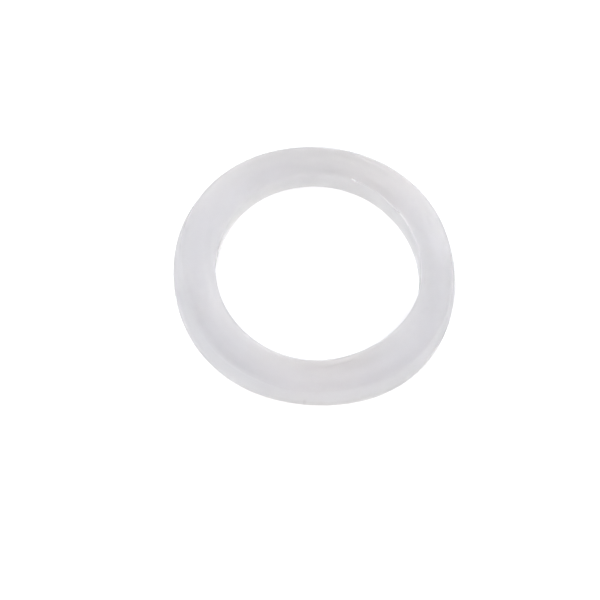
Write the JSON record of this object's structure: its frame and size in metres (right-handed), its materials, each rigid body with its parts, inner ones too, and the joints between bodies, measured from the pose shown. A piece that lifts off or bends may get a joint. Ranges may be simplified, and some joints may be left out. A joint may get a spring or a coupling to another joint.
{
  "type": "o-ring",
  "caption": "Flexible sealing ring with a flat base, an upright bore, a tapered outside and a domed crown, moulded whole in milky, translucent silicone.",
  "frame": {"origin": "centre of the ring on the plane of its flat base", "axes": "+Z along the bore's axis, from the flat base to the domed crown; X and Y lie in the base"},
  "size_m": [0.025, 0.025, 0.0036],
  "materials": {
    "silicone": "satin"
  },
  "bodies": {
    "root": {"o_ring": "silicone"}
  },
  "joints": []
}
